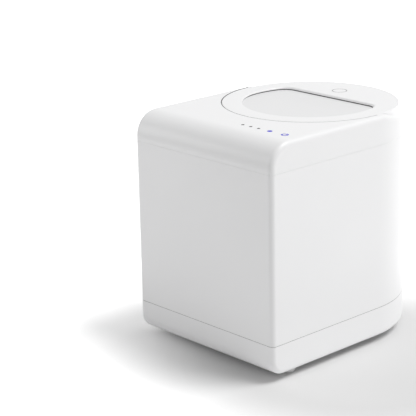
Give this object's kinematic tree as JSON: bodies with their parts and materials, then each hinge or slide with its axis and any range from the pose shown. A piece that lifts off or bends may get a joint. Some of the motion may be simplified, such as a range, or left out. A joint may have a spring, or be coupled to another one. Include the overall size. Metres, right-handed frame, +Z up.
{
  "type": "electric food waste composter",
  "caption": "Countertop electric food waste composter with rolled front, half-round back, twist-lock lid, lift-out grinder bucket and carbon filter.",
  "frame": {"origin": "on the ground under the middle of the body's box", "axes": "+X to the user's right, front faces -Y, +Z up"},
  "size_m": [0.27, 0.349, 0.3325],
  "materials": {
    "shell_white": "satin white moulded shell",
    "inner_grey": "fine matt moulded liner",
    "rubber_black": "matt rubber",
    "foot_grey": "matt pale rubber",
    "well_steel": "drawn sheet",
    "felt": "needled felt",
    "cast_aluminium": "as cast",
    "bucket_coated": "dark non-stick coat",
    "steel": "bright steel",
    "screw_steel": "plated screw",
    "black_plastic": "black moulding",
    "gear_nylon": "natural nylon",
    "gearbox_grey": "glass-filled nylon",
    "motor_can": "plated can",
    "bronze": "sintered bronze",
    "magnet": "ferrite",
    "filter_white": "matt moulded",
    "carbon": "packed granules",
    "board_green": "coated glass fibre",
    "light_grey": "clear guide, unlit",
    "light_blue": "clear guide, lit blue",
    "inlet_brass": "nickelled contact"
  },
  "bodies": {
    "housing": {"base_tray": "shell_white", "body_wrap": "shell_white", "top_cap": "shell_white", "inner_deck": "inner_grey", "filter_sleeve": "inner_grey", "inlet_cup": "inner_grey", "exhaust_duct": "inner_grey", "feet": "foot_grey", "well_can": "well_steel", "well_insulation": "felt", "heater_plate": "cast_aluminium", "heating_element": "steel", "idler_pin": "steel", "inlet_screws": "screw_steel", "tray_screws": "screw_steel", "cap_screws": "screw_steel", "deck_screws": "screw_steel", "gearbox_screws": "screw_steel", "thermostat": "black_plastic", "lid_switch": "black_plastic", "inlet_socket": "black_plastic", "blower_motor": "black_plastic", "board_parts": "black_plastic", "gearbox_case": "gearbox_grey", "gearbox_cover": "gearbox_grey", "blower_housing": "gearbox_grey", "motor": "motor_can", "output_bushes": "bronze", "control_board": "board_green", "main_board": "board_green", "light_guides": "light_grey", "touch_pad": "light_grey", "status_light": "light_blue", "inlet_pins": "inlet_brass"},
    "lid_core": {"lid_plate": "inner_grey", "lid_gasket": "rubber_black"},
    "lid_cover": {"lid_cover": "shell_white", "lid_pivot_screw": "steel", "lid_magnet": "magnet"},
    "bucket": {"bucket": "bucket_coated", "shaft_bush": "bronze", "fixed_blades": "steel"},
    "bail": {"bucket_bail": "steel", "bail_grip": "black_plastic"},
    "rotor": {"grinder_rotor": "cast_aluminium", "rotor_shaft": "steel", "driven_coupling": "steel", "rotor_nut": "steel"},
    "drive": {"output_gear": "gear_nylon", "output_shaft": "steel", "drive_coupling": "gear_nylon"},
    "idler": {"idler_gear": "gear_nylon"},
    "motor_drive": {"motor_shaft": "steel", "motor_pinion": "steel"},
    "filter": {"filter_canister": "filter_white", "carbon_bed": "carbon", "filter_cap": "filter_white"},
    "blower": {"blower_wheel": "black_plastic"}
  },
  "joints": [
    {"name": "lid_lift", "type": "slide", "parent": "housing", "child": "lid_core", "axis": [0, 0, 1], "range_m": [0, 0.5]},
    {"name": "lid_turn", "type": "hinge", "parent": "lid_core", "child": "lid_cover", "pos_m": [0, 0.0395, 0.325], "axis": [0, 0, -1], "range_deg": [0, 25]},
    {"name": "bucket_lift", "type": "slide", "parent": "housing", "child": "bucket", "axis": [0, 0, 1], "range_m": [0, 0.26]},
    {"name": "bail_swing", "type": "hinge", "parent": "bucket", "child": "bail", "pos_m": [0, 0.012, 0.3006], "axis": [-1, 0, 0], "range_deg": [0, 90]},
    {"name": "rotor_spin", "type": "hinge", "parent": "bucket", "child": "rotor", "pos_m": [0, 0.012, 0.1], "axis": [0, 0, 1], "continuous": true},
    {"name": "drive_spin", "type": "hinge", "parent": "housing", "child": "drive", "pos_m": [0, 0.012, 0.045], "axis": [0, 0, 1], "continuous": true},
    {"name": "idler_spin", "type": "hinge", "parent": "housing", "child": "idler", "pos_m": [0, -0.063, 0.035], "axis": [0, 0, 1], "continuous": true},
    {"name": "motor_spin", "type": "hinge", "parent": "housing", "child": "motor_drive", "pos_m": [0, -0.108, 0.035], "axis": [0, 0, 1], "continuous": true},
    {"name": "filter_lift", "type": "slide", "parent": "housing", "child": "filter", "axis": [0, 0, 1], "range_m": [0, 0.21]},
    {"name": "blower_spin", "type": "hinge", "parent": "housing", "child": "blower", "pos_m": [0, 0.122, 0.17], "axis": [0, 0, 1], "continuous": true}
  ],
  "couplings": [
    {"joint": "bucket_lift", "follows": "lid_lift", "ratio": 0.5},
    {"joint": "bail_swing", "follows": "lid_lift", "rad_per_m": 3},
    {"joint": "filter_lift", "follows": "lid_lift", "ratio": 0.4},
    {"joint": "drive_spin", "follows": "rotor_spin", "ratio": 1},
    {"joint": "idler_spin", "follows": "rotor_spin", "ratio": -4},
    {"joint": "motor_spin", "follows": "rotor_spin", "ratio": 16}
  ]
}
